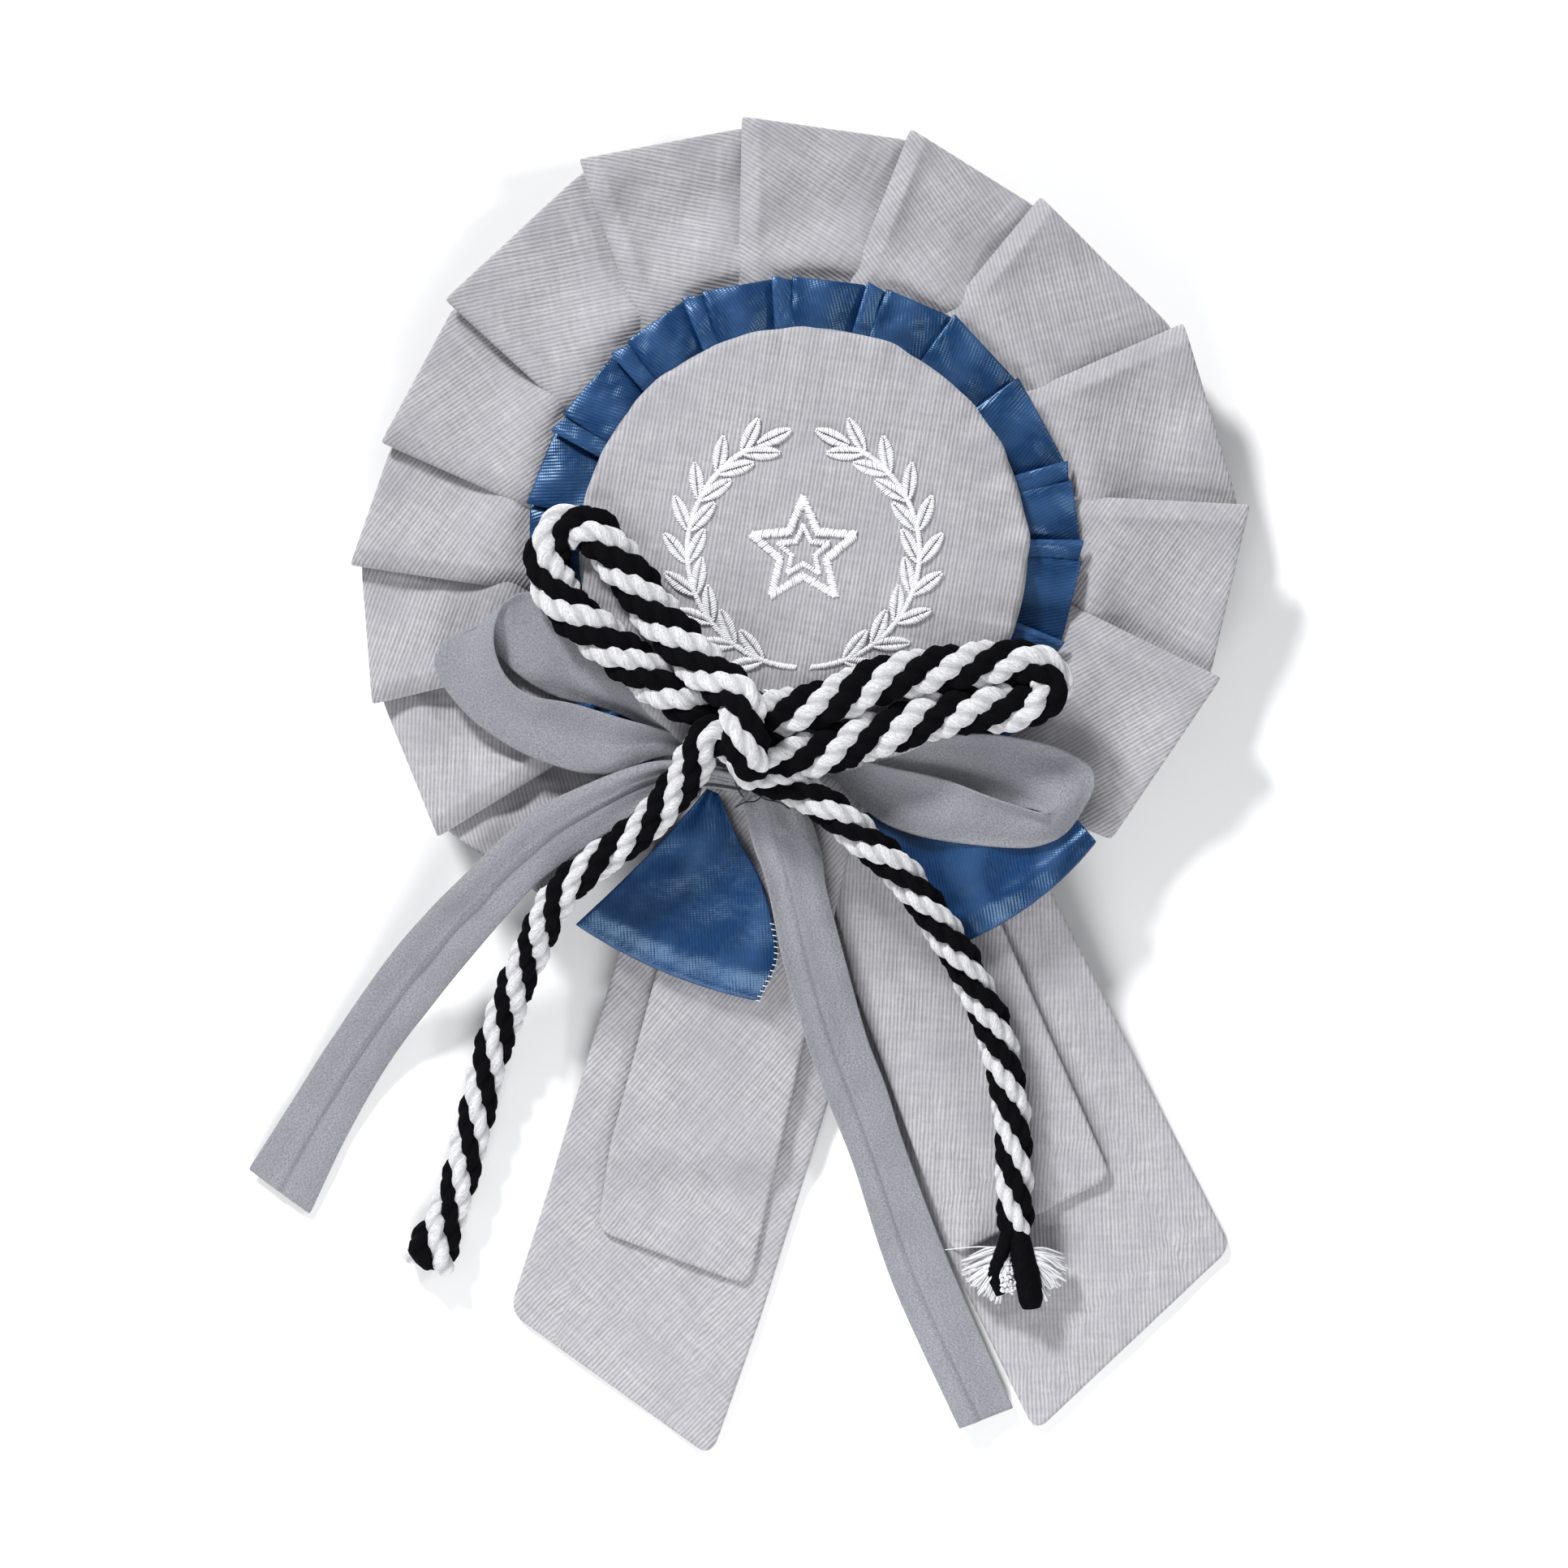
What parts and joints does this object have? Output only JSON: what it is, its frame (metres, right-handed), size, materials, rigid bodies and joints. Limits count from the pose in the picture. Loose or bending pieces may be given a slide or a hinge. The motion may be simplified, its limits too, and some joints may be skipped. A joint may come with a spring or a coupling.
{
  "type": "award rosette",
  "caption": "Award badge with a pleated twill rosette, satin ring, padded covered button, twill tails, chiffon and twisted-cord bows, and a safety brooch on its felt back.",
  "frame": {"origin": "middle of the brooch needle's round shank, with the needle shut", "axes": "+Z towards the badge's front, +Y towards the top of the rosette, +X along the needle towards its hinge"},
  "size_m": [0.129, 0.1744, 0.024],
  "materials": {
    "felt": "matte wool felt",
    "card": "grey-brown card",
    "twill": "pale grey cotton twill",
    "satin": "blue ribbed satin ribbon",
    "wadding": "white wadding",
    "white_thread": "white embroidery thread",
    "chiffon": "mid grey matte crepe chiffon",
    "dark_thread": "dark sewing thread",
    "cord": "black and white twisted cotton cord",
    "steel": "nickel-plated steel"
  },
  "bodies": {
    "badge": {"back_felt": "felt", "backing_card": "card", "outer_rosette": "twill", "satin_ring": "satin", "button_core": "card", "button_padding": "wadding", "button_cover": "twill", "button_embroidery": "white_thread", "tail_back_right": "twill", "tail_back_left": "twill", "tail_front_right": "twill", "tail_front_left": "twill", "satin_flap_left": "satin", "satin_flap_right": "satin", "chiffon_bow": "chiffon", "bow_thread": "dark_thread", "cord_bow": "cord", "cord_fray": "white_thread", "brooch_bar": "steel", "brooch_thread": "white_thread", "brooch_catch": "steel", "hinge_rivet": "steel"},
    "needle": {"brooch_needle": "steel"},
    "roller": {"catch_roller": "steel"}
  },
  "joints": [
    {"name": "needle_hinge", "type": "hinge", "parent": "badge", "child": "needle", "pos_m": [0.0135, 0, 0], "axis": [0, -1, 0], "range_deg": [0, 75]},
    {"name": "roller_turn", "type": "hinge", "parent": "badge", "child": "roller", "pos_m": [-0.01375, 0, 0], "axis": [-1, 0, 0], "range_deg": [0, 90]}
  ]
}
